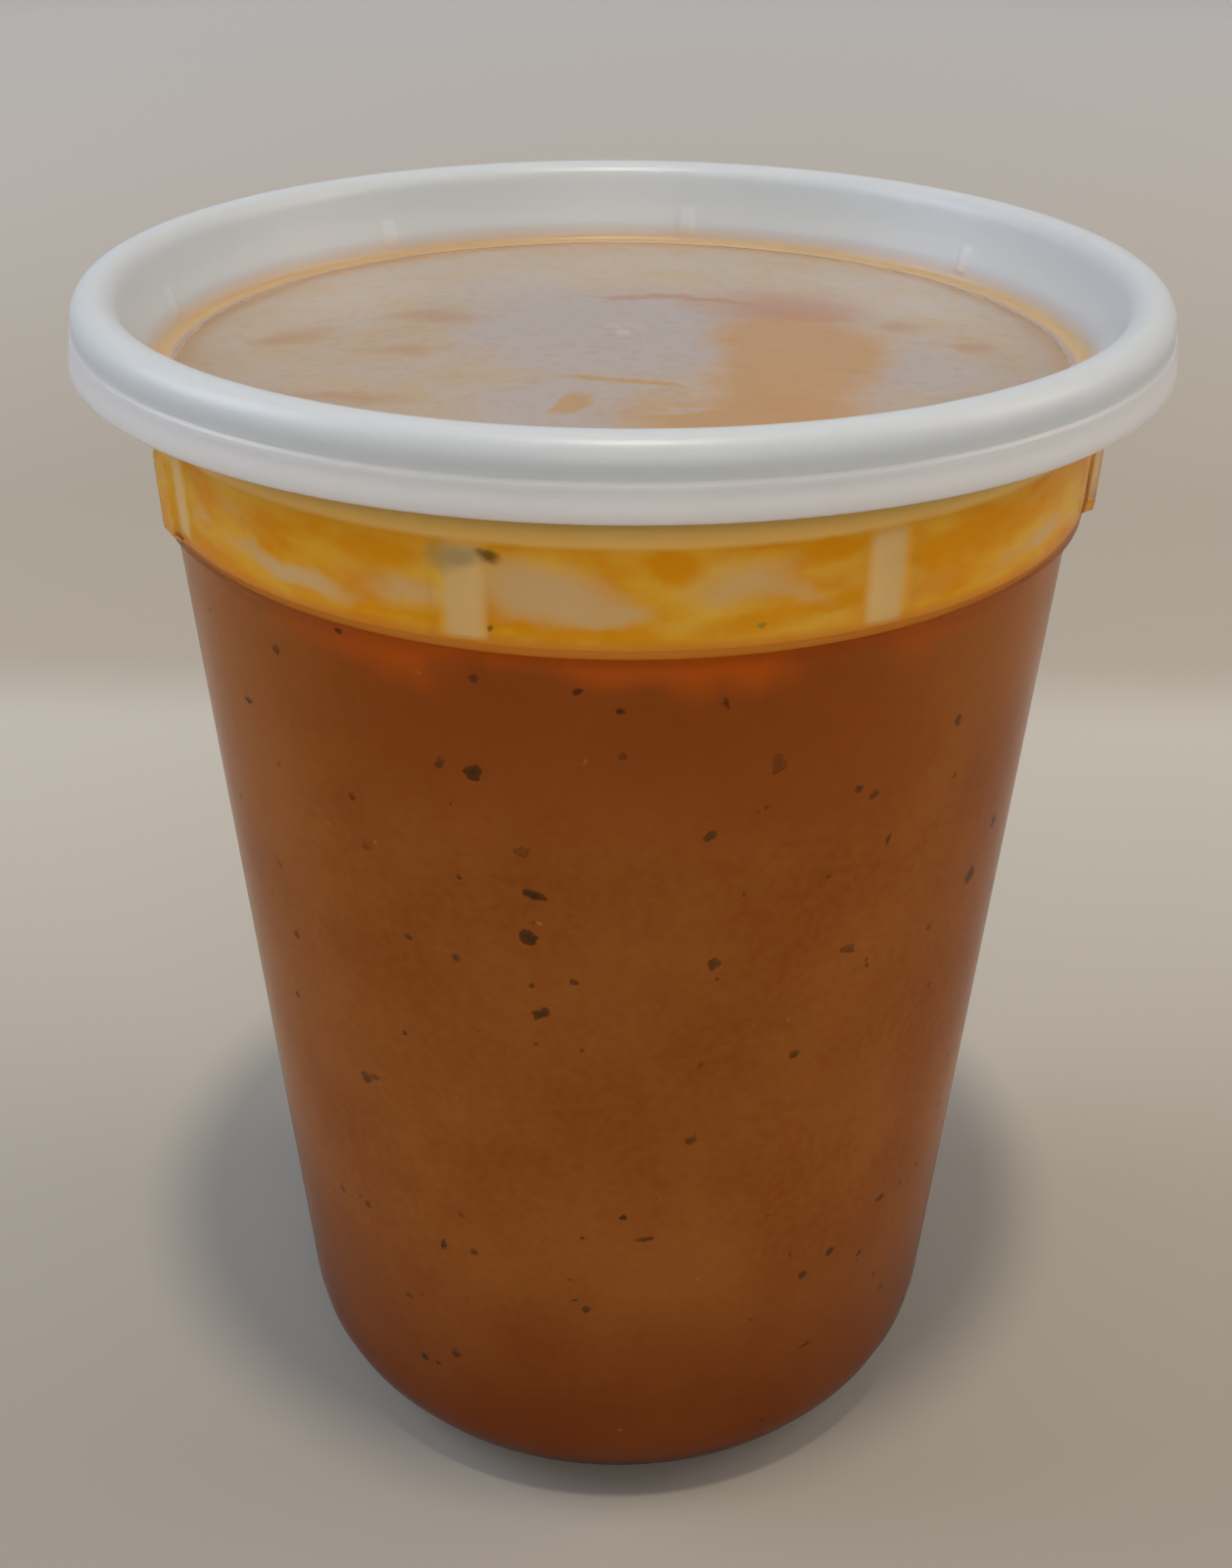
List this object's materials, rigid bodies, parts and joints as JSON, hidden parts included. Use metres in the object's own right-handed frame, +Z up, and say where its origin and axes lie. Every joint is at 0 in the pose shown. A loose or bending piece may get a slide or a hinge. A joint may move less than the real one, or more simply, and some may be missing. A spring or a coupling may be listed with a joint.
{
  "type": "tub of tomato soup",
  "caption": "Round tapered translucent plastic tub filled to its shoulder ledge with herb-flecked tomato soup, closed by a white push-on lid with a sunken panel.",
  "frame": {"origin": "middle of the tub's base, on the surface it stands on", "axes": "+Z up along the tub's axis to the lid; -Y is the side seen in front, +X is to its right"},
  "size_m": [0.117, 0.117, 0.1431],
  "materials": {
    "tub_plastic": "moulded natural polypropylene, milky and see-through, smooth with a soft gloss",
    "lid_plastic": "moulded translucent white polyethylene, satin",
    "tomato_soup": "thick blended tomato soup, brownish orange, wet, redder where oil has risen",
    "oil_film": "thin orange-yellow soup oil clinging to the inside of the tub and the lid",
    "herb_flakes": "dried chopped herb, dark green-brown, wet",
    "pale_specks": "tomato seeds and bits of onion, pale and wet"
  },
  "bodies": {
    "root": {"tub": "tub_plastic", "soup": "tomato_soup", "lid": "lid_plastic"}
  },
  "joints": []
}
